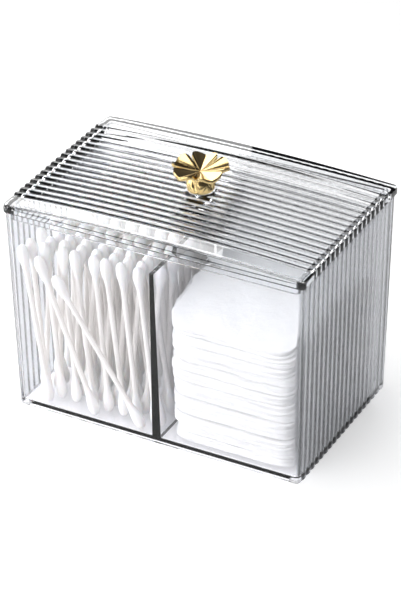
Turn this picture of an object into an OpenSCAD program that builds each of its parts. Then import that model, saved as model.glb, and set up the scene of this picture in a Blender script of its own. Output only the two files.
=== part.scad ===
// Clear moulded holder with two compartments and a ribbed lift-off lid with a flower knob.
// Cotton swabs stand in the left compartment and square cotton pads lie in the right one.
// The origin is on the table under the middle of the box, and the front looks to -Y.

/* [Box] */
// Width over the lid, left to right
lid_w = 135; // [130:1:150]
// Depth over the lid, front to back
lid_d = 87; // [84:1:100]
// Height from the table to the rim that the lid rests on
seat_z = 92.3; // [90:0.1:110]
// How far each outer face leans in from the rim to the bottom, so that the box leaves its mould
draft_run = 1.7; // [1:0.1:2.2]
// Wall thickness
wall_t = 1.6; // [1.3:0.1:2.2]
// Floor thickness
floor_t = 1.4; // [1.2:0.1:3]
// How far the floor is set up above the walls' bottom edge
floor_lift = 0.7; // [0.5:0.1:2]
// Radius of the upright corners outside
corner_r = 2; // [1.5:0.1:3]
// Radius where the walls meet the floor inside
inner_r = 1; // [0.8:0.1:1.6]
// Height of the corner feet below the walls' bottom edge
foot_h = 0.3; // [0.2:0.1:1.5]
// Diameter of a corner foot
foot_d = 4.4; // [3:0.1:7]

/* [Divider] */
// Distance from the middle of the box to the middle of the divider
divider_x = 0; // [-3:0.5:3]
// Height of the divider above the table
divider_top = 81; // [74:0.5:84]
// Thickness of the divider at its top
divider_top_t = 1.9; // [1.4:0.1:2.4]
// Thickness of the divider at the floor
divider_foot_t = 4; // [3:0.1:4.6]

/* [Flutes] */
// Distance from one flute or lid rib to the next
flute_pitch = 4.1; // [3.6:0.1:5]
// Height of a wall flute from valley to crest
flute_h = 0.5; // [0.3:0.05:0.6]
// Height of a lid rib from valley to crest
rib_h = 0.7; // [0.4:0.05:0.9]
// Smooth strip beside each upright corner, before the flutes start
flute_margin = 0.3; // [0.2:0.1:3]
// Smooth band along the front and back edges of the lid
lid_band = 8.6; // [6:0.1:14]

/* [Lid] */
// Height of the lid's edge at its corners
lid_edge_h = 3.2; // [3:0.1:4.5]
// Height of the straight band along the bottom of its front and back edges
rim_band_h = 2.2; // [1.6:0.1:2.4]
// How far the straight band stands out from the crowned top
rim_step = 0.35; // [0.2:0.05:0.6]
// Rise of the crowned top from its ends to its middle
crown = 2; // [1:0.1:3]
// Thickness of the top
lid_t = 2; // [1.6:0.1:2.4]
// Depth of the locating lip below the seat
lip_h = 3.5; // [2.5:0.1:5]
// Thickness of the locating lip
lip_t = 1.4; // [1:0.1:2]
// Gap between the lip and the walls
lip_gap = 0.4; // [0.3:0.05:0.8]

/* [Knob] */
// Diameter of the flat boss under the knob
boss_d = 12.4; // [12:0.1:16]
// Height of the boss above the middle of the crowned top
boss_h = 1; // [0.8:0.1:2]
// Height of the stem
stem_h = 7.9; // [6:0.1:12]
// Largest diameter of the stem
stem_d = 12; // [9:0.1:13]
// Diameter over the five petals
flower_d = 24; // [18:0.5:30]
// Rise of the petal tips above the middle of the flower
petal_rise = 2.2; // [1:0.1:4]
// Thickness of a petal's edge
petal_t = 1.7; // [1.2:0.1:2.4]
// Thread diameter of the knob screw
screw_d = 3; // [2.5:0.1:4]
// Head diameter of the knob screw
screw_head_d = 6; // [5:0.1:8]
// Head height of the knob screw
screw_head_h = 2; // [1.5:0.1:2.6]

/* [Swabs] */
// Length of a swab
swab_len = 73.8; // [70:0.1:78]
// Diameter of the paper stick
stick_d = 2.2; // [1.8:0.1:2.6]
// Diameter of the cotton bud
bud_d = 4.8; // [4:0.1:5]
// Length of the cotton bud
bud_len = 13; // [10:0.5:16]

/* [Pads] */
// Gap between the pads and the divider
pad_left_gap = 1.6; // [1.4:0.1:5]
// Gap between the pads and the right wall
pad_right_gap = 2; // [1.6:0.1:5]
// Gap between the pads and the front wall
pad_front_gap = 2; // [1.6:0.1:5]
// Gap between the pads and the back wall
pad_back_gap = 5; // [2:0.1:7]
// Height that one pad takes at the front and back of the stack
pad_edge_h = 4.25; // [3.5:0.05:4.6]
// Height that one pad takes in the middle of the stack
pad_mid_h = 4.85; // [4.1:0.05:5.2]

/* [Hidden] */
// Clearances
rest_gap = 0.15;
pad_gap = 0.3;
bore_gap = 0.05;
screw_hole_gap = 0.2;
lid_side_gap = 0.2;
foot_side_gap = 0.4;
screw_end_gap = 0.6;

// How far joined shapes reach into each other, and how far cuts reach past a face
bite = 0.6;
past = 1;
skin = 0.01;
valley_h = 0.1;
// Flat in the valleys of the lid's scalloped ends, as a height above the valley line
end_valley = 0.05;
floor_edge_steps = 4;
// Flutes stop this far from the walls' top and bottom edges
flute_end = 0.3;

// Box faces: the flutes stand out from the smooth face behind them
side_top = lid_w / 2 - lid_side_gap - flute_h - valley_h;
front_top = -lid_d / 2 + lid_side_gap;
back_top = lid_d / 2 - lid_side_gap - flute_h - valley_h;
floor_z = foot_h + floor_lift + floor_t;
foot_in = foot_d / 2 + foot_side_gap;
draft_angle = atan(draft_run / (seat_z - foot_h));
function run(z) = draft_run * (seat_z - z) / (seat_z - foot_h);
function side_face(z) = side_top - run(z);
function front_face(z) = front_top + run(z);
function back_face(z) = back_top - run(z);

// Lid
rib_count = floor((lid_d - 2 * lid_band) / flute_pitch + 0.001);
crown_r = (pow(lid_w / 2, 2) + pow(crown, 2)) / (2 * crown);
crown_z = seat_z + lid_edge_h + crown;
boss_z = crown_z + boss_h;
arch_angle = 2 * asin((lid_w / 2 + past) / crown_r);
arch_facets = 1440;
lip_out_x = side_top - wall_t - lip_gap;
lip_front = front_top + wall_t + lip_gap;
lip_back = back_top - wall_t - lip_gap;
lip_d = lip_back - lip_front;
lip_y = (lip_back + lip_front) / 2;

// Knob and screw
petals = 5;
petal_steps = 16;
flower_turn = 142.3;
stem_twist = 30;
petal_cup = 1.9;
notch_share = 0.26;
dent_share = 0.035;
dent_width = 0.22;
flower_r = flower_d / 2;
flower_z = boss_z + stem_h;
stem_r = stem_d / 2;
bore_end_wall = 1.4;
bore_depth = stem_h - bore_end_wall;
screw_top_z = boss_z + bore_depth - screw_end_gap;
screw_seat_z = crown_z - lid_t;
slot_w = 0.9;
slot_depth = 1.1;

// Swabs: each row is a plane from left to right. It says how many swabs stand in the row, where
// the first and last buds are at the top and at the foot, as shares of the width, and how far
// the buds between them stray from an even spread.
SWAB_ROWS = [
    [3, 0.00, 0.27, 0.14, 0.92, 0.0],
    [8, 0.02, 0.88, 0.07, 1.00, 1.0],
    [8, 0.13, 1.00, 0.00, 0.86, 0.9],
    [8, 0.00, 0.86, 0.12, 1.00, 0.9],
    [7, 0.10, 1.00, 0.02, 0.92, 1.4],
    [9, 0.00, 0.94, 0.04, 1.00, 0.8],
    [9, 0.08, 1.00, 0.00, 0.95, 0.7],
    [10, 0.00, 0.97, 0.03, 1.00, 0.6],
    [9, 0.08, 1.00, 0.00, 0.94, 0.7],
    [10, 0.00, 0.97, 0.02, 1.00, 0.6],
    [9, 0.06, 1.00, 0.00, 0.95, 0.8],
    [10, 0.00, 0.98, 0.02, 1.00, 0.6],
    [9, 0.04, 1.00, 0.00, 0.97, 0.8]
];
single_rows = 5;
bud_r = bud_d / 2;
stick_r = stick_d / 2;
swab_core = swab_len - bud_d;
swab_left = -side_face(floor_z) + wall_t + bud_r + rest_gap + inner_r / 2;
swab_top_left = -side_face(floor_z + swab_core) + wall_t + bud_r + rest_gap;
swab_right = divider_x - divider_foot_t / 2 - bud_r - rest_gap;
swab_front = front_face(floor_z) + wall_t + bud_r + rest_gap + inner_r / 2;
swab_back = back_face(floor_z) - wall_t - bud_r - rest_gap - inner_r / 2;
front_row_gap = bud_d + rest_gap;
back_row_gap = (swab_back - swab_front - (single_rows - 1) * front_row_gap)
    / (len(SWAB_ROWS) - single_rows);
swab_foot_z = floor_z + bud_r + rest_gap;

// Pads
pad_count = 13;
pad_left = divider_x + divider_foot_t / 2 + pad_left_gap;
pad_right = side_face(floor_z) - wall_t - pad_right_gap;
pad_front = front_face(floor_z) + wall_t + pad_front_gap;
pad_back = back_face(floor_z) - wall_t - pad_back_gap;
pad_w = pad_right - pad_left;
pad_d = pad_back - pad_front;
pad_x = (pad_left + pad_right) / 2;
pad_y = (pad_front + pad_back) / 2;
pad_corner_r = 4;
pad_shift = 0.7;
pad_turn = 0.6;
pad_past = 2;

// A repeatable number from -1 to 1 for swab or pad i
function wander(i, k) = sin(i * 137.5 + k * 71.3 + sin(i * 53 + k * 29) * 90);
function blend(a, b, t) = a + (b - a) * t;

// Index of the first swab of row j, counted over all rows
function first_in_row(j) = j == 0 ? 0 : first_in_row(j - 1) + SWAB_ROWS[j - 1][0];
SINGLE_SWABS = first_in_row(single_rows);
function row_of(i, j = 0) = i < first_in_row(j + 1) ? j : row_of(i, j + 1);

// Rounded rectangle around the point (0, y), as an outline
function rounded(w, d, r, y = 0, n = 8) = [
    for (c = [[1, 1, 0], [-1, 1, 90], [-1, -1, 180], [1, -1, 270]], k = [0 : n])
        [c[0] * (w / 2 - r) + r * cos(c[2] + 90 * k / n),
         y + c[1] * (d / 2 - r) + r * sin(c[2] + 90 * k / n)]
];

// Row of round reeds side by side along X, their crests at y = h above valleys at y = 0
module reeds(count, pitch, h, depth) {
    r = (pow(pitch / 2, 2) + pow(h, 2)) / (2 * h);
    intersection() {
        translate([-count * pitch / 2, -depth]) square([count * pitch, depth + h + past]);
        union() {
            for (i = [0 : count - 1])
                translate([(i - (count - 1) / 2) * pitch, h - r]) circle(r, $fn = 96);
            translate([-count * pitch / 2 - past, -depth - past])
                square([count * pitch + 2 * past, depth + past - valley_h]);
        }
    }
}

module box_outline(z, h) {
    d = back_face(z) - front_face(z);
    translate([0, 0, z])
        linear_extrude(h)
            polygon(rounded(2 * side_face(z), d, corner_r, (back_face(z) + front_face(z)) / 2));
}

module box_outside() {
    hull() {
        box_outline(foot_h, skin);
        box_outline(seat_z - skin, skin);
    }
}

// Outline of the space inside the walls at height z, drawn in by `more` near the floor
module inside_outline(z, more) {
    inset = wall_t + more;
    d = back_face(z) - front_face(z) - 2 * inset;
    translate([0, 0, z])
        linear_extrude(skin)
            polygon(rounded(2 * (side_face(z) - inset), d, inner_r,
                            (back_face(z) + front_face(z)) / 2));
}

// The space inside the walls, with a rounded edge all round the floor
module box_inside() {
    hull() {
        for (a = [0 : 90 / floor_edge_steps : 90])
            inside_outline(floor_z + inner_r * (1 - sin(a)), inner_r * (1 - cos(a)));
        inside_outline(seat_z + past, 0);
    }
}

// The divider is part of the box moulding: a wedge that is thickest at the floor
module divider_blank() {
    foot = divider_foot_t / 2;
    top = divider_top_t / 2;
    translate([divider_x, lid_d / 2 + past, 0])
        rotate([90, 0, 0])
            linear_extrude(lid_d + 2 * past)
                polygon([
                    [-foot, floor_z - past], [foot, floor_z - past], [foot, floor_z],
                    [top, divider_top], [-top, divider_top], [-foot, floor_z]
                ]);
}

// Upright flutes on one outer face, which looks along the direction `turn` from +Y
module wall_flutes(turn, face, span) {
    count = floor((span - 2 * (corner_r + flute_margin)) / flute_pitch);
    intersection() {
        rotate([0, 0, turn])
            translate([0, face + valley_h, seat_z])
                rotate([-draft_angle, 0, 0])
                    translate([0, 0, -seat_z])
                        linear_extrude(seat_z + past)
                            reeds(count, flute_pitch, flute_h, bite + valley_h);
        translate([-lid_w, -lid_w, foot_h + flute_end])
            cube([2 * lid_w, 2 * lid_w, seat_z - foot_h - 2 * flute_end]);
    }
}

// The space under the floor, inside the walls' bottom edge
module underside() {
    d = back_face(foot_h) - front_face(foot_h) - 2 * wall_t;
    translate([0, 0, foot_h - past])
        linear_extrude(floor_lift + past)
            polygon(rounded(2 * (side_face(foot_h) - wall_t), d, inner_r,
                            (back_face(foot_h) + front_face(foot_h)) / 2));
}

module box_body() {
    color([0.86, 0.88, 0.91, 0.35]) {
        difference() {
            box_outside();
            underside();
            difference() {
                box_inside();
                divider_blank();
            }
        }
        wall_flutes(90, side_top, back_face(foot_h) - front_face(foot_h));
        wall_flutes(-90, side_top, back_face(foot_h) - front_face(foot_h));
        wall_flutes(0, back_top, 2 * side_face(foot_h));
        for (sx = [-1, 1], y = [front_face(foot_h) + foot_in, back_face(foot_h) - foot_in])
            translate([sx * (side_face(foot_h) - foot_in), y, 0])
                cylinder(h = foot_h + floor_lift + bite, d = foot_d, $fn = 48);
    }
}

// Bends a section along the crowned top's curve: its X becomes height over that curve
module crowned() {
    translate([0, 0, crown_z - crown_r])
        rotate([90, 0, 0])
            rotate([0, 0, 90 - arch_angle / 2])
                rotate_extrude(angle = arch_angle, $fn = arch_facets)
                    translate([crown_r, 0])
                        children();
}

// Outline of the lid: its ends are scalloped, because the ribs run on down over them
module lid_outline(front_inset) {
    reeded = rib_count * flute_pitch;
    intersection() {
        polygon(rounded(lid_w, lid_d - 2 * front_inset, corner_r));
        union() {
            square([lid_w - 2 * (rib_h - end_valley), lid_d], center = true);
            for (side = [-1, 1]) {
                translate([0, side * (lid_d + reeded) / 4])
                    square([lid_w, (lid_d - reeded) / 2], center = true);
                rotate([0, 0, 90 * side])
                    translate([0, lid_w / 2 - rib_h])
                        reeds(rib_count, flute_pitch, rib_h, bite);
            }
        }
    }
}

module lid_prism(front_inset, h) {
    translate([0, 0, seat_z]) linear_extrude(h) lid_outline(front_inset);
}

module lip_prism(inset, z, h) {
    translate([0, 0, z])
        linear_extrude(h)
            polygon(rounded(2 * (lip_out_x - inset), lip_d - 2 * inset, inner_r, lip_y));
}

module lid() {
    lid_h = lid_edge_h + crown + rib_h + past;
    color([0.84, 0.86, 0.90, 0.4]) difference() {
        union() {
            difference() {
                intersection() {
                    union() {
                        lid_prism(0, rim_band_h);
                        lid_prism(rim_step, lid_h);
                    }
                    crowned() union() {
                        translate([-lid_h, -lid_d]) square([lid_h, 2 * lid_d]);
                        rotate([0, 0, -90]) reeds(rib_count, flute_pitch, rib_h, bite);
                    }
                }
                intersection() {
                    lip_prism(lip_t, seat_z - past, lid_h);
                    crowned() translate([-lid_t - lid_h, -lid_d]) square([lid_h, 2 * lid_d]);
                }
            }
            difference() {
                lip_prism(0, seat_z - lip_h, lip_h + bite);
                lip_prism(lip_t, seat_z - lip_h - past, lip_h + bite + 2 * past);
            }
            translate([0, 0, crown_z - lid_t / 2])
                cylinder(h = boss_h + lid_t / 2, d = boss_d, $fn = 96);
        }
        translate([0, 0, seat_z])
            cylinder(h = boss_z - seat_z + past, d = screw_d + 2 * screw_hole_gap, $fn = 48);
    }
}

// Flower: heights and outline follow the angle inside each petal, t from -1 to 1 across it.
// Each petal is cupped, with a crease along its middle, and the edge is notched between petals.
function petal_t_at(a) = (a * petals / 360 - floor(a * petals / 360)) * 2 - 1;
function petal_lobe(t) = pow(max(0, 1 - pow(abs(t), 3.2)), 0.6);
function petal_edge(t) =
    flower_r * (1 - notch_share * (1 - petal_lobe(t)) - dent_share * exp(-pow(t / dent_width, 2)));
function petal_top(s, t) = petal_rise * pow(s, 1.5) + petal_cup * s * abs(t) * (1 - pow(t, 4));
function ring_point(r_share, s, drop, k) =
    let (a = 360 * k / (petals * petal_steps), t = petal_t_at(a), turn = a + flower_turn)
    [petal_edge(t) * r_share * cos(turn), petal_edge(t) * r_share * sin(turn), petal_top(s, t) - drop];

// Each ring of the flower: share of the outline, share that sets the height, and drop below the top
FLOWER_RINGS = [
    [0.22, 0.22, 0], [0.45, 0.45, 0], [0.68, 0.68, 0], [0.86, 0.86, 0],
    [0.96, 0.96, petal_t * 0.05], [1.00, 1.00, petal_t * 0.45], [0.96, 0.96, petal_t],
    [0.76, 0.76, petal_t], [0.56, 0.56, petal_t]
];

// Each ring of the barrel-shaped stem: share of its largest radius, share of its height, and
// how deep the creases between its five lobes are, as a share of the radius
STEM_RINGS = [
    [0.92, 0.72, 0.12], [0.97, 0.60, 0.14], [1.00, 0.44, 0.13], [1.00, 0.30, 0.10],
    [0.97, 0.12, 0.06], [0.93, 0.02, 0.03], [0.91, 0.00, 0.03]
];
function stem_point(r_share, h_share, crease, k) =
    let (a = 360 * k / (petals * petal_steps),
         lobe = 1 - crease * pow(abs(cos(petals * a / 2 + petals * stem_twist * h_share / 2)), 6),
         r = stem_r * r_share * lobe, turn = a + flower_turn)
    [r * cos(turn), r * sin(turn), stem_h * (h_share - 1)];

// The flower and its stem as one casting: rings of points from the flower's middle down
module flower() {
    n = petals * petal_steps;
    rings = len(FLOWER_RINGS) + len(STEM_RINGS);
    points = concat(
        [[0, 0, 0]],
        [for (ring = FLOWER_RINGS, k = [0 : n - 1]) ring_point(ring[0], ring[1], ring[2], k)],
        [for (ring = STEM_RINGS, k = [0 : n - 1]) stem_point(ring[0], ring[1], ring[2], k)],
        [[0, 0, -stem_h]]
    );
    faces = concat(
        [for (k = [0 : n - 1]) [0, 1 + (k + 1) % n, 1 + k]],
        [for (j = [0 : rings - 2], k = [0 : n - 1])
            [1 + j * n + k, 1 + j * n + (k + 1) % n, 1 + (j + 1) * n + k]],
        [for (j = [0 : rings - 2], k = [0 : n - 1])
            [1 + j * n + (k + 1) % n, 1 + (j + 1) * n + (k + 1) % n, 1 + (j + 1) * n + k]],
        [for (k = [0 : n - 1])
            [1 + rings * n, 1 + (rings - 1) * n + k, 1 + (rings - 1) * n + (k + 1) % n]]
    );
    polyhedron(points, faces, convexity = 6);
}

module flower_knob() {
    color("gold") difference() {
        translate([0, 0, flower_z]) flower();
        translate([0, 0, boss_z - past])
            cylinder(h = bore_depth + past, d = screw_d + 2 * bore_gap, $fn = 48);
    }
}

module knob_screw() {
    color("silver") difference() {
        union() {
            translate([0, 0, screw_seat_z - bore_gap - screw_head_h])
                cylinder(h = screw_head_h, d = screw_head_d, $fn = 64);
            translate([0, 0, screw_seat_z - bore_gap - screw_head_h / 2])
                cylinder(h = screw_top_z - screw_seat_z + screw_head_h / 2, d = screw_d, $fn = 48);
        }
        for (turn = [0, 90])
            translate([0, 0, screw_seat_z - bore_gap - screw_head_h - past])
                rotate([0, 0, turn])
                    translate([-screw_head_d / 3, -slot_w / 2, 0])
                        cube([screw_head_d * 2 / 3, slot_w, slot_depth + past]);
    }
}

// Half of a swab's section, from the middle of the stick to the tip of one bud
module half_section() {
    shoulder = bud_r / 4;
    polygon([
        [0, -skin], [stick_r, -skin], [stick_r, swab_len / 2 - bud_len],
        [bud_r * 0.96, swab_core / 2 - shoulder], [0, swab_core / 2]
    ]);
    intersection() {
        translate([0, swab_core / 2]) circle(bud_r, $fn = 64);
        translate([0, swab_core / 2 - bud_d]) square([bud_d, 2 * bud_d]);
    }
}

module swab() {
    color("white") rotate_extrude($fn = 48) {
        half_section();
        mirror([0, 1]) half_section();
    }
}

// Swab i stands on its foot bud and leans towards where its row puts its top bud
module placed_swab(i) {
    j = row_of(i);
    row = SWAB_ROWS[j];
    t = (i - first_in_row(j)) / (row[0] - 1);
    inner = t == 0 || t == 1 ? 0 : row[5];
    foot_x = blend(swab_left, swab_right, blend(row[3], row[4], t)) + inner * wander(i, 1);
    top_x = blend(swab_top_left, swab_right, blend(row[1], row[2], t)) + inner * wander(i, 2);
    foot_y = swab_front + front_row_gap * min(j, single_rows - 1)
        + back_row_gap * max(0, j - single_rows + 1);
    lean_x = top_x - foot_x;
    lean = asin(lean_x / swab_core);
    translate([foot_x, foot_y, swab_foot_z])
        rotate([0, lean, 0])
            translate([0, 0, swab_core / 2])
                swab();
}

module swab_row(j) {
    for (i = [first_in_row(j) : first_in_row(j + 1) - 1]) placed_swab(i);
}

// Height of the stack's curve k at the middle and at the front and back edges
function stack_mid(k) = floor_z + rest_gap + k * pad_mid_h;
function stack_edge(k) = floor_z + rest_gap + k * pad_edge_h;

// Everything below the stack's curve k, seen from the right side
module below_curve(k, drop) {
    half = pad_d / 2;
    sag = stack_mid(k) - stack_edge(k);
    if (sag < skin) {
        translate([-half - pad_past, -past])
            square([2 * (half + pad_past), stack_mid(k) - drop + past]);
    } else {
        r = (pow(half, 2) + pow(sag, 2)) / (2 * sag);
        translate([0, stack_mid(k) - drop - r]) circle(r, $fn = 720);
    }
}

// Pads lie crowned on each other, each a little turned and out of line with the next
module cotton_pad(i) {
    color("white") translate([pad_x, pad_y, 0])
        intersection() {
            translate([pad_shift * wander(i, 3), pad_shift * wander(i, 4), 0])
                rotate([0, 0, pad_turn * wander(i, 5)])
                    linear_extrude(seat_z) polygon(rounded(pad_w, pad_d, pad_corner_r));
            rotate([90, 0, 90])
                linear_extrude(pad_w + 2 * pad_past, center = true)
                    intersection() {
                        difference() {
                            below_curve(i, pad_gap);
                            below_curve(i - 1, 0);
                        }
                        translate([-pad_d / 2 - pad_past, 0])
                            square([pad_d + 2 * pad_past, seat_z]);
                    }
        }
}

box_body();
lid();
flower_knob();
knob_screw();
for (i = [1 : SINGLE_SWABS])
    placed_swab(i - 1);
for (j = [single_rows + 1 : len(SWAB_ROWS)])
    swab_row(j - 1);
for (i = [1 : pad_count])
    cotton_pad(i);
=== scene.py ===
import math
import random

import bmesh
import bpy
from mathutils import Matrix, Vector, noise
from mathutils.bvhtree import BVHTree


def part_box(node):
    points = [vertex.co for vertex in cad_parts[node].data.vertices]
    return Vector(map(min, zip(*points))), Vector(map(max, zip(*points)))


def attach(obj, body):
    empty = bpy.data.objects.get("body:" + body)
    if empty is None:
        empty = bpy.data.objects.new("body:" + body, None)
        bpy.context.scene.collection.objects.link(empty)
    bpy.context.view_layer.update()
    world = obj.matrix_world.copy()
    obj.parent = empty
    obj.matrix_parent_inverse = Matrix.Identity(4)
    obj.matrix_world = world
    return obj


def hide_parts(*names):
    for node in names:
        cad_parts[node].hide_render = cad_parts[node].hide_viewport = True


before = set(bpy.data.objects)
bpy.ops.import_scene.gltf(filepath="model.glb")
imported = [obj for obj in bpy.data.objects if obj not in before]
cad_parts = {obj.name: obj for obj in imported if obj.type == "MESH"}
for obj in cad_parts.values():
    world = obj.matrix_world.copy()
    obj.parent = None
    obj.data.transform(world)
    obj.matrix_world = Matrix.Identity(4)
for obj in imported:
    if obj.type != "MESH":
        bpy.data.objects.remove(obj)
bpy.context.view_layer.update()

# The camera stands in front of the box, to its right and above it, with a long lens.
# It is aimed from the corners of the box and lid in the photograph.
AZIMUTH = math.radians(28.309)
ELEVATION = math.radians(31.551)
ROLL = math.radians(-0.674)
DISTANCE = 1.144
AIM_RIGHT = -0.0012
AIM_UP = 0.03895

toward_camera = Vector((
    math.sin(AZIMUTH) * math.cos(ELEVATION),
    -math.cos(AZIMUTH) * math.cos(ELEVATION),
    math.sin(ELEVATION),
))
level_right = Vector((math.cos(AZIMUTH), math.sin(AZIMUTH), 0))
level_up = toward_camera.cross(level_right)
camera_right = math.cos(ROLL) * level_right + math.sin(ROLL) * level_up
camera_up = math.cos(ROLL) * level_up - math.sin(ROLL) * level_right

camera = bpy.data.objects.new("camera", bpy.data.cameras.new("camera"))
camera.data.sensor_fit = "VERTICAL"
camera.data.sensor_height = 36
camera.data.lens = 162.95
camera.data.clip_start = 0.01
camera.matrix_world = Matrix.Translation(
    toward_camera * DISTANCE + camera_right * AIM_RIGHT + camera_up * AIM_UP
) @ Matrix((camera_right, camera_up, toward_camera)).transposed().to_4x4()
bpy.context.scene.collection.objects.link(camera)
bpy.context.scene.camera = camera


# The box is one moulding of clear polystyrene: walls, floor, divider, feet and the upright
# flutes on its left, right and back. It is injection moulded in a polished tool.
FLUTED_WALL_FROM = 0.055
FLUTED_WALL_TO = 0.058


def linear(hex_colour):
    """An sRGB hex colour as the linear RGBA that a shader's socket takes."""
    parts = [int(hex_colour[i:i + 2], 16) / 255 for i in (1, 3, 5)]
    return [c / 12.92 if c <= 0.04045 else ((c + 0.055) / 1.055) ** 2.4 for c in parts] + [1]


def add_node(material, kind, settings=None, **links):
    """Adds a node, sets its properties and sockets, and links sockets by name; a list links
    the sockets that share a name, in turn."""
    node = material.node_tree.nodes.new(kind)
    for name, value in (settings or {}).items():
        if name in node.inputs:
            node.inputs[name].default_value = value
        else:
            setattr(node, name, value)
    for name, sources in links.items():
        sockets = [s for s in node.inputs if s.enabled and s.name == name.replace("_", " ")]
        for socket, source in zip(sockets, sources if isinstance(sources, list) else [sources]):
            material.node_tree.links.new(source, socket)
    return node


def new_material(name):
    material = bpy.data.materials.new(name)
    material.use_nodes = True
    material.node_tree.nodes.clear()
    return material


def moulded_polystyrene(name, clear_tint_and_flute_shade, shade, edge_density, roughness, side_roughness):
    """Clear polystyrene from a polished tool: a hard gloss, faint flow ripples, dark edges.
    The outer flutes at left and right come from a part of the tool that is harder to polish: they
    get the side roughness, and blur what lies behind them. They also get the second colour, a
    painted shade that greys them in place of the dark reflections they would pick up."""
    plastic = new_material(name)
    place = add_node(plastic, "ShaderNodeTexCoord").outputs["Object"]
    # Flow ripples of about 20 mm, as the melt leaves them in a thin wall
    ripple = add_node(plastic, "ShaderNodeTexNoise",
                      {"Scale": 50, "Detail": 1, "Roughness": 0.4}, Vector=place)
    bump = add_node(plastic, "ShaderNodeBump",
                    {"Strength": 0.02, "Distance": 0.0003}, Height=ripple.outputs["Fac"])
    # Handling haze of about 15 mm in the gloss
    haze = add_node(plastic, "ShaderNodeTexNoise", {"Scale": 70, "Detail": 3}, Vector=place)
    gloss = add_node(plastic, "ShaderNodeMapRange",
                     {"From Min": 0.3, "From Max": 0.7,
                      "To Min": roughness, "To Max": roughness * 2.5},
                     Value=haze.outputs["Fac"])
    # The flutes: faces turned to the left or right, in the outer walls only
    face_way = add_node(plastic, "ShaderNodeSeparateXYZ", None,
                        Vector=add_node(plastic, "ShaderNodeTexCoord").outputs["Normal"])
    sideways = add_node(plastic, "ShaderNodeMath", {"operation": "ABSOLUTE"},
                        Value=face_way.outputs["X"])
    turned = add_node(plastic, "ShaderNodeMapRange", {"From Min": 0.55, "From Max": 0.75},
                      Value=sideways.outputs["Value"])
    side_place = add_node(plastic, "ShaderNodeMath", {"operation": "ABSOLUTE"},
                          Value=add_node(plastic, "ShaderNodeSeparateXYZ", None,
                                         Vector=place).outputs["X"])
    outer = add_node(plastic, "ShaderNodeMapRange",
                     {"From Min": FLUTED_WALL_FROM, "From Max": FLUTED_WALL_TO},
                     Value=side_place.outputs["Value"])
    side = add_node(plastic, "ShaderNodeMath", {"operation": "MULTIPLY"},
                    Value=[turned.outputs["Result"], outer.outputs["Result"]])
    side_gloss = add_node(plastic, "ShaderNodeMapRange", {"To Min": 0, "To Max": side_roughness},
                          Value=side.outputs["Value"])
    roughness_sum = add_node(plastic, "ShaderNodeMath", {"operation": "ADD"},
                             Value=[gloss.outputs["Result"], side_gloss.outputs["Result"]])
    # Painted shade: the flutes take the second, greyer colour in place of the dark reflections
    # they would pick up
    flute_painted_shade_mix = add_node(plastic, "ShaderNodeMix", {"data_type": "RGBA"}, Factor=side.outputs["Value"])
    for socket, colour in zip((6, 7), clear_tint_and_flute_shade):
        flute_painted_shade_mix.inputs[socket].default_value = linear(colour)
    glass = add_node(plastic, "ShaderNodeBsdfPrincipled", {"IOR": 1.55, "Transmission Weight": 1},
                     Base_Color=flute_painted_shade_mix.outputs[2], Roughness=roughness_sum.outputs["Value"],
                     Normal=bump.outputs["Normal"])
    # Lamp light passes straight through, weakened by the shade colour
    lamp_light = add_node(plastic, "ShaderNodeBsdfTransparent", {"Color": linear(shade)})
    ray = add_node(plastic, "ShaderNodeLightPath")
    surface = add_node(plastic, "ShaderNodeMixShader", None,
                       Fac=ray.outputs["Is Shadow Ray"],
                       Shader=[glass.outputs["BSDF"], lamp_light.outputs["BSDF"]])
    smoke = add_node(plastic, "ShaderNodeVolumeAbsorption",
                     {"Color": linear("#8E939A"), "Density": edge_density})
    add_node(plastic, "ShaderNodeOutputMaterial", None,
             Surface=surface.outputs["Shader"], Volume=smoke.outputs["Volume"])
    return plastic


# Painted shade: the second colour, #D8DADE, greys the box's left and right flutes
box_plastic = moulded_polystyrene("moulded_clear_polystyrene", ("#FCFCFE", "#D8DADE"), "#F8F8F9",
                                  16, 0.004, 0.2)


def coat(node_name, material):
    """Gives a CAD node its material in every slot."""
    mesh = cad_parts[node_name].data
    for index in range(len(mesh.materials)):
        mesh.materials[index] = material


coat("box_body", box_plastic)

# The lid is a second moulding of the same plastic: a crowned plate with ribs from left to
# right that run on down over both ends, and a lip below that keeps it in place. This piece
# stands for the CAD lid, with finer ribs and a small round along its upper edges.
LID_HALF_WIDTH = 0.0675
LID_HALF_DEPTH = 0.0435
RIM_STEP = 0.00035
RIM_HEIGHT = 0.0022
CORNER = 0.002
SEAT = 0.0923
LID_EDGE = 0.0032
CROWN = 0.002
PLATE = 0.002
CROWN_RADIUS = (LID_HALF_WIDTH ** 2 + CROWN ** 2) / (2 * CROWN)
CROWN_TOP = SEAT + LID_EDGE + CROWN
RIBS = 17
RIB_PITCH = 0.0041
RIB_HEIGHT = 0.0007
RIB_RADIUS = ((RIB_PITCH / 2) ** 2 + RIB_HEIGHT ** 2) / (2 * RIB_HEIGHT)
RIB_STEPS = 14
RIBBED = RIBS * RIB_PITCH / 2
EDGE_ROUND = 0.0004
LIP_HALF_WIDTH = 0.0647
LIP_HALF_DEPTH = 0.041
LIP_BACK_SHIFT = -0.0003
LIP = 0.0014
LIP_DROP = 0.0035
LIP_CORNER = 0.001
BOSS_RADIUS = 0.0062
BOSS_TOP = CROWN_TOP + 0.001
BOSS_SLOPE = 0.0003
BOSS_SLOPE_OUT = 0.0001
SCREW_HOLE = 0.0017
SCREW_HOLE_RING = 0.004
SCREW_HOLE_TOP = BOSS_TOP - 0.00002
LIP_ROUND = 0.0002
UNDERSIDE_SHARES = (0.985, 0.9, 0.75, 0.6, 0.45, 0.3, 0.2)
FLAT_TO_CROWN = 1e-6


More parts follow.
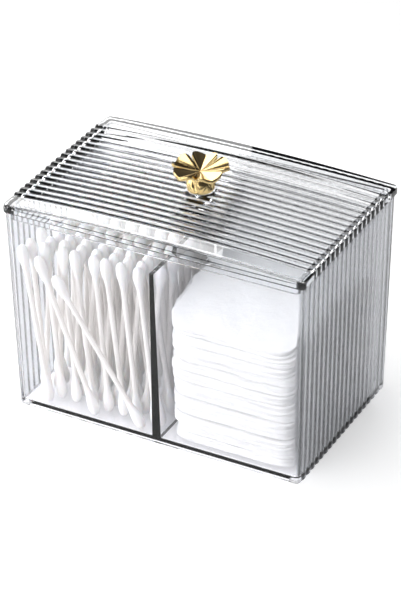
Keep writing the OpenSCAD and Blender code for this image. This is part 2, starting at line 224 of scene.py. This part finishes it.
def rib_rise(y):
    """Height of the ribs over their valleys, at a distance y from the lid's middle."""
    place = (y + RIBBED) / RIB_PITCH
    if not 0 < place < RIBS:
        return 0
    across = (place % 1 - 0.5) * RIB_PITCH
    return RIB_HEIGHT - RIB_RADIUS + math.sqrt(RIB_RADIUS ** 2 - across ** 2)


def crowned(x, rise):
    """Height of the crowned plate at x, raised by a rib or lowered by its thickness."""
    return CROWN_TOP - CROWN_RADIUS + math.sqrt((CROWN_RADIUS + rise) ** 2 - x ** 2)


def lid_top(x, y):
    """Height of the lid's top: the ribs, with the boss for the knob in the middle."""
    boss = min(1, max(0, (BOSS_RADIUS + BOSS_SLOPE_OUT - math.hypot(x, y)) / BOSS_SLOPE))
    plate = crowned(x, rib_rise(y))
    return plate + (BOSS_TOP - plate) * boss


def lid_rows():
    """Places of the mesh's rows from front to back: fine on the ribs and at the corners."""
    reach = LID_HALF_DEPTH - RIM_STEP
    band = [RIBBED + (reach - CORNER - RIBBED) * share for share in (0.15, 0.4, 0.7)]
    band += [reach - CORNER + CORNER * math.sin(math.radians(a)) for a in (0, 18, 36, 54, 72, 90)]
    lean = math.asin(RIB_PITCH / 2 / RIB_RADIUS)
    ribs = [(rib - (RIBS - 1) / 2) * RIB_PITCH
            + RIB_RADIUS * math.sin(lean * (2 * k / RIB_STEPS - 1))
            for rib in range(RIBS) for k in range(RIB_STEPS)] + [RIBBED]
    return [-y for y in reversed(band)] + ribs + band


LID_ROWS = lid_rows()
# Shares of half a row's length: finer over the boss than out to the end
HALF_COLUMNS = [k / 150 for k in range(20)] + [20 / 150 + k / 24 * 13 / 15 for k in range(25)]
LID_COLUMNS = [-u for u in reversed(HALF_COLUMNS[1:])] + HALF_COLUMNS


def lid_row(y, half_width, half_depth, corner, ribbed):
    """One row of the outline at a size: its place, and half of its length."""
    reach = LID_HALF_DEPTH - RIM_STEP
    if abs(y) > RIBBED:
        share = (abs(y) - RIBBED) / (reach - RIBBED)
        y = math.copysign(RIBBED + (half_depth - RIBBED) * share, y)
    turned = max(0, abs(y) - (half_depth - corner))
    half = half_width - corner + math.sqrt(max(0, corner ** 2 - turned ** 2))
    if ribbed and abs(y) < RIBBED:
        half -= RIB_HEIGHT - rib_rise(y)
    return y, half


def lid_loop(bm, half_width, half_depth, corner, ribbed, height, shift=0):
    """Points all round the lid at one size, from the front left corner."""
    rows = [lid_row(y, half_width, half_depth, corner, ribbed) for y in LID_ROWS]
    front = [(u * rows[0][1], rows[0][0]) for u in LID_COLUMNS]
    right = [(half, y) for y, half in rows[1:-1]]
    back = [(u * rows[-1][1], rows[-1][0]) for u in reversed(LID_COLUMNS)]
    left = [(-half, y) for y, half in reversed(rows[1:-1])]
    return [bm.verts.new((x, y + shift, height(x, y))) for x, y in front + right + back + left]


def join_loops(bm, upper, lower):
    """Faces between two loops with the same number of points."""
    for k, corner in enumerate(upper):
        turn = (k + 1) % len(upper)
        bm.faces.new((corner, lower[k], lower[turn], upper[turn]))


def lid_mesh():
    bm = bmesh.new()
    reach = LID_HALF_DEPTH - RIM_STEP
    # The ribbed top, row by row, and its edge as the first loop
    rows = [lid_row(y, LID_HALF_WIDTH - EDGE_ROUND, reach - EDGE_ROUND, CORNER - EDGE_ROUND, True)
            for y in LID_ROWS]
    top = [[bm.verts.new((u * half, y, lid_top(u * half, y))) for u in LID_COLUMNS]
           for y, half in rows]
    for low, high in zip(top, top[1:]):
        for k in range(len(LID_COLUMNS) - 1):
            bm.faces.new((low[k], low[k + 1], high[k + 1], high[k]))
    loops = [top[0] + [row[-1] for row in top[1:-1]] + top[-1][::-1]
             + [row[0] for row in reversed(top[1:-1])]]
    # The rounded edge, the walls with the rim's step at front and back, and the seat
    for angle in (30, 60, 90):
        inset = EDGE_ROUND * (1 - math.sin(math.radians(angle)))
        drop = EDGE_ROUND * (1 - math.cos(math.radians(angle)))
        loops.append(lid_loop(bm, LID_HALF_WIDTH - inset, reach - inset, CORNER - inset, True,
                              lambda x, y: crowned(x, rib_rise(y)) - drop))
    for inset, depth_inset, height in (
            (0, RIM_STEP, RIM_HEIGHT), (0, 0.0001, RIM_HEIGHT), (0, 0, RIM_HEIGHT - 0.0001),
            (0, 0, 0.00015), (0.00005, 0.00005, 0.00005), (0.00015, 0.00015, 0)):
        loops.append(lid_loop(bm, LID_HALF_WIDTH - inset, LID_HALF_DEPTH - depth_inset,
                              CORNER - inset, True, lambda x, y: SEAT + height))
    # The lip, outside, round its lower edge and up inside to the plate
    for inset, height in ((0, 0), (0, -LIP_DROP + LIP_ROUND), (LIP_ROUND, -LIP_DROP),
                          (LIP - LIP_ROUND, -LIP_DROP), (LIP, -LIP_DROP + LIP_ROUND)):
        loops.append(lid_loop(bm, LIP_HALF_WIDTH - inset, LIP_HALF_DEPTH - inset,
                              LIP_CORNER + LIP - inset, False, lambda x, y: SEAT + height,
                              LIP_BACK_SHIFT))
    loops.append(lid_loop(bm, LIP_HALF_WIDTH - LIP, LIP_HALF_DEPTH - LIP, LIP_CORNER, False,
                          lambda x, y: crowned(x, -PLATE), LIP_BACK_SHIFT))
    # The plate's underside: the lip's inner outline, scaled towards the middle
    outline = [vert.co.copy() for vert in loops[-1]]
    for share in UNDERSIDE_SHARES:
        loops.append([bm.verts.new((at.x * share, at.y * share, crowned(at.x * share, -PLATE)))
                      for at in outline])
    # The screw's hole, up into the boss
    around = [math.atan2(vert.co.y, vert.co.x) for vert in loops[-1]]
    for radius, height in ((SCREW_HOLE_RING, None), (SCREW_HOLE, None),
                           (SCREW_HOLE, SCREW_HOLE_TOP)):
        loops.append([bm.verts.new((radius * math.cos(a), radius * math.sin(a),
                                    height or crowned(radius * math.cos(a), -PLATE)))
                      for a in around])
    for upper, lower in zip(loops, loops[1:]):
        join_loops(bm, upper, lower)
    bm.faces.new(loops[-1])
    bmesh.ops.recalc_face_normals(bm, faces=bm.faces)
    return bm


def piece_from(name, bm, material, crease=None):
    """Makes a smooth-shaded piece of the object from a bmesh."""
    mesh = bpy.data.meshes.new(name)
    for face in bm.faces:
        face.smooth = True
    if crease is not None:
        for edge in bm.edges:
            edge.smooth = not (edge.is_manifold and edge.calc_face_angle(0) > crease)
    bm.to_mesh(mesh)
    bm.free()
    mesh.materials.append(material)
    piece = bpy.data.objects.new(name, mesh)
    bpy.context.scene.collection.objects.link(piece)
    return piece


# Painted shade: the second colour, #F4F5F7, faintly greys the lid's left and right ends
lid_plastic = moulded_polystyrene("moulded_ribbed_polystyrene", ("#FBFCFD", "#F4F5F7"),
                                  "#C4C7CB", 6, 0.003, 0)
lid = piece_from("ribbed_lid", lid_mesh(), lid_plastic, crease=math.radians(34))

# The plate's underside shades as the plain arch that it is, whatever its faces' layout
arch_normals = [(0, 0, 0)] * len(lid.data.loops)
for face in lid.data.polygons:
    points = [lid.data.vertices[k].co for k in face.vertices]
    if all(abs(point.z - crowned(point.x, -PLATE)) < FLAT_TO_CROWN for point in points):
        for loop, point in zip(face.loop_indices, points):
            upward = Vector((point.x, 0, point.z + CROWN_RADIUS - CROWN_TOP))
            arch_normals[loop] = -upward.normalized()
lid.data.normals_split_custom_set(arch_normals)
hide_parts("lid")
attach(lid, "lid")

# The knob is a die-cast zinc flower with five petals, each creased along its middle, on a
# barrel stem. It is polished and plated in pale gold, and a screw from below holds it on the
# lid's boss. This piece stands for the CAD knob, with deeper notches between its petals.
PETALS = 5
PETAL_STEPS = 40
KNOB_MIDDLE = (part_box("flower_knob")[0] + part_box("flower_knob")[1]) / 2
KNOB_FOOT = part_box("flower_knob")[0].z
FLOWER_RADIUS = 0.012
FLOWER_TURN = math.radians(142.3)
STEM_TWIST = math.radians(30)
STEM_HEIGHT = 0.0079
STEM_RADIUS = 0.006
PETAL_RISE = 0.0014
PETAL_CUP = 0.003
PETAL_THICKNESS = 0.0017
PETAL_EDGE_ROUND = 0.022
BORE_RADIUS = 0.00155
BORE_DEPTH = STEM_HEIGHT - 0.0014


def petal_edge(across):
    """Radius of the flower's edge at a place across one petal, from -1 to 1."""
    lobe = max(0, 1 - abs(across) ** 4) ** 0.5
    dent = math.exp(-(across / 0.2) ** 2)
    return FLOWER_RADIUS * (0.52 + 0.48 * lobe - 0.03 * dent)


def petal_height(out, across):
    """Height of a petal above the flower's middle: it rises outwards and is creased along."""
    fold = abs(across) * (1 - across ** 6)
    return PETAL_RISE * out ** 1.5 + PETAL_CUP * out * fold


def knob_mesh():
    sides = PETALS * PETAL_STEPS
    # Each ring: share of the petal's edge, share that sets the height, drop below the top
    rings = [(s / 14, s / 14, 0) for s in range(1, 14)]
    for step in range(1, 8):
        turn = math.pi * step / 8
        rings.append((1 - PETAL_EDGE_ROUND * (1 - math.sin(turn)), 1,
                      PETAL_THICKNESS * (1 - math.cos(turn)) / 2))
    rings += [(s / 10, s / 10, PETAL_THICKNESS) for s in range(9, 4, -1)]
    bm = bmesh.new()
    flower_z = KNOB_FOOT + STEM_HEIGHT

    def ring_at(edge_share, height_share, drop):
        ring = []
        for k in range(sides):
            across = (k % PETAL_STEPS) / PETAL_STEPS * 2 - 1
            angle = 2 * math.pi * k / sides + FLOWER_TURN
            radius = petal_edge(across) * edge_share
            ring.append(bm.verts.new((
                KNOB_MIDDLE.x + radius * math.cos(angle), KNOB_MIDDLE.y + radius * math.sin(angle),
                flower_z + petal_height(height_share, across) - drop)))
        return ring

    middle = bm.verts.new((KNOB_MIDDLE.x, KNOB_MIDDLE.y, flower_z))
    loops = [ring_at(*ring) for ring in rings]
    for k in range(sides):
        bm.faces.new((middle, loops[0][k], loops[0][(k + 1) % sides]))
    # The stem: a barrel with five soft lobes that turn a little on their way to the boss
    stem = [(0.90, 0.80, 0.10), (0.92, 0.72, 0.12), (0.945, 0.66, 0.135), (0.97, 0.60, 0.14),
            (0.99, 0.52, 0.14), (1.0, 0.44, 0.13), (1.0, 0.37, 0.115), (1.0, 0.30, 0.10),
            (0.985, 0.21, 0.08), (0.97, 0.12, 0.06), (0.95, 0.06, 0.04), (0.93, 0.02, 0.03),
            (0.91, 0, 0.03)]
    for share, height, lobe in stem:
        ring = []
        for k in range(sides):
            angle = 2 * math.pi * k / sides
            swell = 1 - lobe * abs(math.cos(PETALS * (angle + STEM_TWIST * height) / 2)) ** 6
            radius = STEM_RADIUS * share * swell
            ring.append(bm.verts.new((
                KNOB_MIDDLE.x + radius * math.cos(angle + FLOWER_TURN),
                KNOB_MIDDLE.y + radius * math.sin(angle + FLOWER_TURN),
                KNOB_FOOT + STEM_HEIGHT * height)))
        loops.append(ring)
    for radius, z in ((BORE_RADIUS, 0), (BORE_RADIUS, BORE_DEPTH)):
        loops.append([bm.verts.new((
            KNOB_MIDDLE.x + radius * math.cos(2 * math.pi * k / sides + FLOWER_TURN),
            KNOB_MIDDLE.y + radius * math.sin(2 * math.pi * k / sides + FLOWER_TURN),
            KNOB_FOOT + z)) for k in range(sides)])
    for upper, lower in zip(loops, loops[1:]):
        join_loops(bm, upper, lower)
    bm.faces.new(loops[-1])
    bmesh.ops.recalc_face_normals(bm, faces=bm.faces)
    return bm


# Polished gold plate: a mirror with warm reflections, faint polishing marks and no grain
gold = new_material("polished_gold_plate")
gold_place = add_node(gold, "ShaderNodeTexCoord").outputs["Object"]
polish = add_node(gold, "ShaderNodeTexNoise", {"Scale": 900, "Detail": 4}, Vector=gold_place)
gold_gloss = add_node(gold, "ShaderNodeMapRange", {"To Min": 0.06, "To Max": 0.16},
                      Value=polish.outputs["Fac"])
buffing = add_node(gold, "ShaderNodeBump", {"Strength": 0.06, "Distance": 0.0001},
                   Height=polish.outputs["Fac"])
plate = add_node(gold, "ShaderNodeBsdfPrincipled",
                 {"Base Color": linear("#E8CB8E"), "Metallic": 1},
                 Roughness=gold_gloss.outputs["Result"], Normal=buffing.outputs["Normal"])
add_node(gold, "ShaderNodeOutputMaterial", None, Surface=plate.outputs["BSDF"])

knob = piece_from("gold_flower", knob_mesh(), gold, crease=math.radians(50))
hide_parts("flower_knob")
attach(knob, "lid")

# The screw is a cross-head machine screw of zinc-plated steel. It goes up through the lid
# from below into the knob's stem. Its plating gives a soft grey shine with a fine spangle.
zinc = new_material("zinc_plated_steel")
zinc_place = add_node(zinc, "ShaderNodeTexCoord").outputs["Object"]
zinc_spangle = add_node(zinc, "ShaderNodeTexNoise", {"Scale": 1500, "Detail": 2},
                        Vector=zinc_place)
zinc_gloss = add_node(zinc, "ShaderNodeMapRange", {"To Min": 0.2, "To Max": 0.4},
                      Value=zinc_spangle.outputs["Fac"])
steel = add_node(zinc, "ShaderNodeBsdfPrincipled",
                 {"Base Color": linear("#C9CCD0"), "Metallic": 1},
                 Roughness=zinc_gloss.outputs["Result"])
add_node(zinc, "ShaderNodeOutputMaterial", None, Surface=steel.outputs["BSDF"])
coat("knob_screw", zinc)

# The swabs are sticks of rolled white paper with a bud of cotton spun on each end.
# They stand loosely on the floor of the left compartment and lean on each other.
STICK_RADIUS = 0.0011
BUD_RADIUS = 0.0024
BUD_LENGTH = 0.013
SWAB_SIDES = 18
PAPER_SHOULDER = 0.0003
COTTON_OVER_PAPER = 0.00006
TUFT = 0.05
# Outline of a bud from its tip: distance from the tip as a share of its length, and radius
BUD_OUTLINE = [(0.0, 0.10), (0.012, 0.30), (0.04, 0.52), (0.09, 0.74), (0.15, 0.88),
               (0.22, 0.965), (0.30, 1.0), (0.40, 0.985), (0.50, 0.92), (0.60, 0.82),
               (0.70, 0.71), (0.80, 0.61), (0.90, 0.53), (0.97, 0.485)]


def swab_axes(node_name):
    """Foot and top of each swab in a CAD node: the middles of its round ends."""
    bm = bmesh.new()
    bm.from_mesh(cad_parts[node_name].data)
    bmesh.ops.remove_doubles(bm, verts=bm.verts, dist=1e-6)
    left = set(bm.verts)
    axes = []
    while left:
        reached = [left.pop()]
        for vert in reached:
            for edge in vert.link_edges:
                other = edge.other_vert(vert)
                if other in left:
                    left.remove(other)
                    reached.append(other)
        # Points at the same height are told apart by their place, so every run picks the same
        reached.sort(key=lambda v: (v.co.z, v.co.x, v.co.y))
        axes.append((reached[0].co + Vector((0, 0, BUD_RADIUS)),
                     reached[-1].co - Vector((0, 0, BUD_RADIUS))))
    bm.free()
    return sorted(axes, key=lambda axis: axis[0].x)


def add_swab(bm, foot, top, seed):
    """Adds one swab: two spun buds and the paper stick between them, as one skin."""
    draw = random.Random(seed)
    along = (top - foot).normalized()
    length = (top - foot).length + 2 * BUD_RADIUS
    start = foot - along * BUD_RADIUS
    side = along.orthogonal().normalized()
    other = along.cross(side)
    outline = [(share * BUD_LENGTH, radius) for share, radius in BUD_OUTLINE]
    shoulder = BUD_LENGTH + PAPER_SHOULDER
    stick = [(shoulder, None), (length / 2, None), (length - BUD_LENGTH - PAPER_SHOULDER, None)]
    far = [(length - distance, radius) for distance, radius in reversed(outline)]
    twist = draw.uniform(0, 6.28)
    fullness = [draw.uniform(0.93, 1.0), draw.uniform(0.93, 1.0)]
    rings = []
    for distance, share in outline + stick + far:
        half = 0 if distance < length / 2 else 1
        ring = []
        for k in range(SWAB_SIDES):
            angle = twist + 2 * math.pi * k / SWAB_SIDES
            if share is None:
                radius = STICK_RADIUS
            else:
                tuft = noise.noise(Vector((math.cos(angle) * 1.3, math.sin(angle) * 1.3,
                                           distance * 260 + seed * 7.3)))
                radius = max(STICK_RADIUS * 0.25,
                             BUD_RADIUS * share * fullness[half] * (1 + TUFT * tuft))
                if share > 0.5:
                    radius = max(radius, STICK_RADIUS + COTTON_OVER_PAPER)
            out = side * math.cos(angle) + other * math.sin(angle)
            ring.append(bm.verts.new(start + along * distance + out * min(radius, BUD_RADIUS)))
        rings.append(ring)
    paper_from, paper_to = len(outline) - 1, len(outline) + len(stick)
    for index, (low, high) in enumerate(zip(rings, rings[1:])):
        for k in range(SWAB_SIDES):
            turn = (k + 1) % SWAB_SIDES
            face = bm.faces.new((low[k], low[turn], high[turn], high[k]))
            face.material_index = 1 if paper_from <= index < paper_to else 0
    bm.faces.new(reversed(rings[0]))
    bm.faces.new(rings[-1])


# Spun cotton: matt white, with fibres wound round the bud at about 0.3 mm and a soft sheen
cotton = new_material("spun_cotton")
cotton_place = add_node(cotton, "ShaderNodeTexCoord").outputs["Object"]
fibre = add_node(cotton, "ShaderNodeTexNoise",
                 {"Scale": 2600, "Detail": 3, "Roughness": 0.6, "Distortion": 0.6},
                 Vector=cotton_place)
tufts = add_node(cotton, "ShaderNodeTexNoise", {"Scale": 420, "Detail": 2}, Vector=cotton_place)
fibre_bump = add_node(cotton, "ShaderNodeBump", {"Strength": 0.35, "Distance": 0.0003},
                      Height=fibre.outputs["Fac"])
whites = add_node(cotton, "ShaderNodeMix", {"data_type": "RGBA"}, Factor=tufts.outputs["Fac"])
for socket, colour in ((6, "#FBF9F7"), (7, "#FEFDFC")):
    whites.inputs[socket].default_value = linear(colour)
bud = add_node(cotton, "ShaderNodeBsdfPrincipled",
               {"Roughness": 0.85, "Sheen Weight": 0.15, "Sheen Roughness": 0.6,
                "Subsurface Weight": 0.35, "Subsurface Scale": 0.0012,
                "Subsurface Radius": (1.0, 0.72, 0.55)},
               Base_Color=whites.outputs[2], Normal=fibre_bump.outputs["Normal"])
add_node(cotton, "ShaderNodeOutputMaterial", None, Surface=bud.outputs["BSDF"])

# Rolled paper: a smooth warm white with faint lines of 0.4 mm along the winding
paper = new_material("rolled_white_paper")
paper_place = add_node(paper, "ShaderNodeTexCoord").outputs["Object"]
paper_lines = add_node(paper, "ShaderNodeTexNoise", {"Scale": 2400, "Detail": 2},
                       Vector=paper_place)
paper_bump = add_node(paper, "ShaderNodeBump", {"Strength": 0.12, "Distance": 0.0002},
                      Height=paper_lines.outputs["Fac"])
paper_whites = add_node(paper, "ShaderNodeMix", {"data_type": "RGBA"},
                        Factor=paper_lines.outputs["Fac"])
for socket, colour in ((6, "#FBF7F3"), (7, "#FDFAF7")):
    paper_whites.inputs[socket].default_value = linear(colour)
stick_paper = add_node(paper, "ShaderNodeBsdfPrincipled", {"Roughness": 0.6},
                       Base_Color=paper_whites.outputs[2], Normal=paper_bump.outputs["Normal"])
add_node(paper, "ShaderNodeOutputMaterial", None, Surface=stick_paper.outputs["BSDF"])

swab_nodes = [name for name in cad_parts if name.startswith("cotton_swab")]
swab_seed = 0
for node_name in sorted(swab_nodes):
    swab_bm = bmesh.new()
    for foot, top in swab_axes(node_name):
        swab_seed += 1
        add_swab(swab_bm, foot, top, swab_seed)
    swab = piece_from("spun_" + node_name, swab_bm, cotton, crease=math.radians(50))
    swab.data.materials.append(paper)
    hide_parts(node_name)
    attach(swab, "box")

# The pads are squares of soft cotton fleece, folded from three leaves and pressed together.
# They lie in a loose stack in the right compartment, each one crowned on the one below.
# Their left and right ends are torn, and their front and back edges are folded.
PAD_SEED = 100
PAD_SIDES = 120
PAD_INSET = 0.0007
PAD_SQUARENESS = 9
TORN_END = 0.0017
FOLDED_EDGE = 0.0006
END_FROM = 0.97
LEAVES = 3
LEAF_STEPS = 7
LEAF_STAGGER = 0.0003
PARTINGS = (0.00025, 0.0003, 0.0004, 0.0009)
FLAT_SHARES = (0.12, 0.25, 0.38, 0.5, 0.62, 0.73, 0.83, 0.91, 0.965)


def pad_mesh(node_name, seed):
    """A pad in the space of its CAD solid, as rings from the bottom's middle to the top's."""
    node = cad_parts[node_name]
    solid = BVHTree.FromPolygons([v.co for v in node.data.vertices],
                                 [p.vertices for p in node.data.polygons])
    low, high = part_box(node_name)
    middle = (low + high) / 2
    half_width, half_depth = (high.x - low.x) / 2 - PAD_INSET, (high.y - low.y) / 2 - PAD_INSET
    draw = random.Random(seed)
    offset = Vector((draw.uniform(-50, 50), draw.uniform(-50, 50), draw.uniform(-50, 50)))

    def surface(x, y, down):
        """Height of the solid's top or bottom at a place inside its outline."""
        start = Vector((x, y, 0.2 if down else -0.1))
        hit = solid.ray_cast(start, Vector((0, 0, -1 if down else 1)))[0]
        return hit.z if hit else None

    bm = bmesh.new()
    rim = []
    for k in range(PAD_SIDES):
        angle = 2 * math.pi * k / PAD_SIDES
        c, s = math.cos(angle), math.sin(angle)
        reach = (abs(c) ** PAD_SQUARENESS + abs(s) ** PAD_SQUARENESS) ** (-1 / PAD_SQUARENESS)
        rim.append((c * reach, s * reach))

    def ring_at(share, level, bulge):
        """Ring at a share of the outline; level 0 is the bottom and 1 the top."""
        ring = []
        for c, s in rim:
            rag = 0
            if share > 0.8:
                torn = TORN_END if abs(c) > END_FROM else FOLDED_EDGE
                rag = torn * noise.noise(Vector((c * 2, s * 4, level * 9)) + offset)
                rag += torn * 0.5 * noise.noise(Vector((c * 9, s * 13, level * 21)) + offset)
            x = middle.x + c * (half_width * share - bulge + rag)
            y = middle.y + s * (half_depth * share - bulge + rag)
            # A torn tuft that reaches past the solid takes its height from further in
            for inner in (1, 0.97, 0.94, 0.9):
                at = (middle.x + (x - middle.x) * inner, middle.y + (y - middle.y) * inner)
                top, bottom = surface(*at, True), surface(*at, False)
                if top is not None and bottom is not None:
                    break
            thick = top - bottom
            soft = 0.94 + 0.12 * noise.noise(Vector((x * 80, y * 80, level * 0.5)) + offset)
            z = bottom + thick * min(1, max(0, level * soft + 0.02))
            ring.append(bm.verts.new((x, y, z)))
        return ring

    loops = [ring_at(share, 0, 0) for share in FLAT_SHARES]
    parting = [draw.choice(PARTINGS) for leaf in range(LEAVES + 1)]
    for leaf in range(LEAVES):
        for step in range(1 if leaf else 0, LEAF_STEPS):
            turn = math.pi * step / (LEAF_STEPS - 1)
            level = (leaf + (1 - math.cos(turn)) / 2) / LEAVES
            depth = parting[leaf] if turn < math.pi / 2 else parting[leaf + 1]
            bulge = depth * (1 - math.sin(turn)) + LEAF_STAGGER * (leaf % 2)
            loops.append(ring_at(1, level, bulge))
    loops += [ring_at(share, 1, 0) for share in reversed(FLAT_SHARES)]
    for low_ring, high_ring in zip(loops, loops[1:]):
        for k in range(PAD_SIDES):
            turn = (k + 1) % PAD_SIDES
            bm.faces.new((low_ring[k], low_ring[turn], high_ring[turn], high_ring[k]))
    bm.faces.new(reversed(loops[0]))
    bm.faces.new(loops[-1])
    return bm


# Cotton fleece: matt white with a loose nap of about 0.5 mm and soft light inside
fleece = new_material("pressed_cotton_fleece")
fleece_place = add_node(fleece, "ShaderNodeTexCoord").outputs["Object"]
nap = add_node(fleece, "ShaderNodeTexNoise",
               {"Scale": 1500, "Detail": 4, "Roughness": 0.65, "Distortion": 0.8},
               Vector=fleece_place)
clumps = add_node(fleece, "ShaderNodeTexNoise", {"Scale": 180, "Detail": 3}, Vector=fleece_place)
nap_bump = add_node(fleece, "ShaderNodeBump", {"Strength": 0.4, "Distance": 0.0004},
                    Height=nap.outputs["Fac"])
clump_bump = add_node(fleece, "ShaderNodeBump", {"Strength": 0.35, "Distance": 0.0012},
                      Height=clumps.outputs["Fac"], Normal=nap_bump.outputs["Normal"])
fleece_whites = add_node(fleece, "ShaderNodeMix", {"data_type": "RGBA"},
                         Factor=clumps.outputs["Fac"])
for socket, colour in ((6, "#F3F3F3"), (7, "#FCFCFC")):
    fleece_whites.inputs[socket].default_value = linear(colour)
fleece_skin = add_node(fleece, "ShaderNodeBsdfPrincipled",
                       {"Roughness": 0.9, "Sheen Weight": 0.15, "Sheen Roughness": 0.6,
                        "Subsurface Weight": 0.3, "Subsurface Scale": 0.0015,
                        "Subsurface Radius": (1.0, 0.95, 0.9)},
                       Base_Color=fleece_whites.outputs[2], Normal=clump_bump.outputs["Normal"])
add_node(fleece, "ShaderNodeOutputMaterial", None, Surface=fleece_skin.outputs["BSDF"])

pad_nodes = sorted((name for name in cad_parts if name.startswith("cotton_pad_")),
                   key=lambda name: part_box(name)[0].z)
for index, node_name in enumerate(pad_nodes):
    pad = piece_from("fleece_" + node_name, pad_mesh(node_name, PAD_SEED + index), fleece)
    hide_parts(node_name)
    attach(pad, "box")

# The floor is a round sheet of matt white card, wide enough to fill the picture.
# Past its edge, clear plastic finds the dark of the studio, which draws its edges.
FLOOR_RADIUS = 0.5
floor_bm = bmesh.new()
bmesh.ops.create_circle(floor_bm, cap_ends=True, segments=96, radius=FLOOR_RADIUS)
floor_mesh = bpy.data.meshes.new("card_floor")
floor_bm.to_mesh(floor_mesh)
floor_bm.free()
card = new_material("matt_white_card")
card_place = add_node(card, "ShaderNodeTexCoord").outputs["Object"]
card_tooth = add_node(card, "ShaderNodeTexNoise", {"Scale": 900, "Detail": 3}, Vector=card_place)
card_bump = add_node(card, "ShaderNodeBump", {"Strength": 0.05, "Distance": 0.0002},
                     Height=card_tooth.outputs["Fac"])
card_white = add_node(card, "ShaderNodeBsdfDiffuse", {"Color": linear("#F6F6F6")},
                      Normal=card_bump.outputs["Normal"])
card_lift = add_node(card, "ShaderNodeEmission", {"Color": linear("#FFFFFF"), "Strength": 0.34})
card_sum = add_node(card, "ShaderNodeAddShader", None,
                    Shader=[card_white.outputs["BSDF"], card_lift.outputs["Emission"]])
card_ray = add_node(card, "ShaderNodeLightPath")
card_seen = add_node(card, "ShaderNodeMath", {"operation": "MAXIMUM"},
                     Value=[card_ray.outputs["Is Camera Ray"],
                            card_ray.outputs["Is Transmission Ray"]])
card_mix = add_node(card, "ShaderNodeMixShader", None, Fac=card_seen.outputs["Value"],
                    Shader=[card_white.outputs["BSDF"], card_sum.outputs["Shader"]])
add_node(card, "ShaderNodeOutputMaterial", None, Surface=card_mix.outputs["Shader"])
floor_mesh.materials.append(card)
floor = bpy.data.objects.new("card_floor", floor_mesh)
bpy.context.scene.collection.objects.link(floor)

# The studio: white behind for the camera, and for plastic and gold a room that darkens
# towards its low back, with a dark flag above and behind. The ribs pick these up as dark
# lines, and the gold as brown faces.
RAMP_WAY = (-0.30, -0.42, 1)
FLAG_WAY = (-0.26, 0.42, 0.87)
world = bpy.data.worlds.new("studio")
bpy.context.scene.world = world
world.use_nodes = True
world.node_tree.nodes.clear()
sky_way = add_node(world, "ShaderNodeTexCoord").outputs["Generated"]
sky_height = add_node(world, "ShaderNodeVectorMath", {"operation": "DOT_PRODUCT"})
sky_height.inputs[1].default_value = RAMP_WAY
world.node_tree.links.new(sky_way, sky_height.inputs[0])
sky_ramp = add_node(world, "ShaderNodeValToRGB", None, Fac=sky_height.outputs["Value"])
sky_ramp.color_ramp.elements[0].position = 0.0
sky_ramp.color_ramp.elements[0].color = linear("#46464A")
sky_ramp.color_ramp.elements[1].position = 1.0
sky_ramp.color_ramp.elements[1].color = linear("#FFFFFF")
for position, colour in ((0.26, "#46464A"), (0.42, "#626268"), (0.58, "#DCDCDE"),
                         (0.75, "#F6F6F8")):
    sky_ramp.color_ramp.elements.new(position).color = linear(colour)
flag_way = add_node(world, "ShaderNodeVectorMath", {"operation": "DOT_PRODUCT"})
flag_way.inputs[1].default_value = FLAG_WAY
world.node_tree.links.new(sky_way, flag_way.inputs[0])
flag_share = add_node(world, "ShaderNodeMapRange", {"From Min": 0.88, "From Max": 0.93},
                      Value=flag_way.outputs["Value"])
sky_flagged = add_node(world, "ShaderNodeMix", {"data_type": "RGBA"},
                       Factor=flag_share.outputs["Result"])
world.node_tree.links.new(sky_ramp.outputs["Color"], sky_flagged.inputs[6])
sky_flagged.inputs[7].default_value = linear("#2A2A2C")
sky_seen = add_node(world, "ShaderNodeBackground", {"Strength": 1},
                    Color=sky_flagged.outputs[2])
sky_soft = add_node(world, "ShaderNodeBackground",
                    {"Color": linear("#FFFFFF"), "Strength": 0.4})
sky_white = add_node(world, "ShaderNodeBackground",
                     {"Color": linear("#FFFFFF"), "Strength": 1})
sky_ray = add_node(world, "ShaderNodeLightPath")
sky_inner = add_node(world, "ShaderNodeMixShader", None, Fac=sky_ray.outputs["Is Diffuse Ray"],
                     Shader=[sky_seen.outputs["Background"], sky_soft.outputs["Background"]])
sky_outer = add_node(world, "ShaderNodeMixShader", None, Fac=sky_ray.outputs["Is Camera Ray"],
                     Shader=[sky_inner.outputs["Shader"], sky_white.outputs["Background"]])
add_node(world, "ShaderNodeOutputWorld", None, Surface=sky_outer.outputs["Shader"])


def softbox(name, place, aim, width, height, watts):
    """A rectangular area lamp at a place, turned towards its aim."""
    lamp = bpy.data.lights.new(name, "AREA")
    lamp.shape = "RECTANGLE"
    lamp.size = width
    lamp.size_y = height
    lamp.energy = watts
    light = bpy.data.objects.new(name, lamp)
    light.location = place
    light.rotation_euler = (Vector(place) - Vector(aim)).to_track_quat("Z", "Y").to_euler()
    bpy.context.scene.collection.objects.link(light)


MIDDLE_OF_BOX = (0, 0, 0.05)
# Front and left light what the box holds, and the card shines through the lid's left half
softbox("front_softbox", (-0.45, -1.05, 0.34), MIDDLE_OF_BOX, 1.1, 0.7, 4.7)
softbox("left_softbox", (-0.85, -0.4, 0.2), MIDDLE_OF_BOX, 0.6, 0.4, 3.4)
softbox("overhead_softbox", (-0.1, -0.1, 1.1), MIDDLE_OF_BOX, 0.6, 0.5, 2.8)
softbox("back_left_card", (-0.33, 0.3, 0.26), (-0.33, 0, 0.2), 0.4, 0.3, 1.1)

bpy.context.scene.view_settings.view_transform = "Standard"
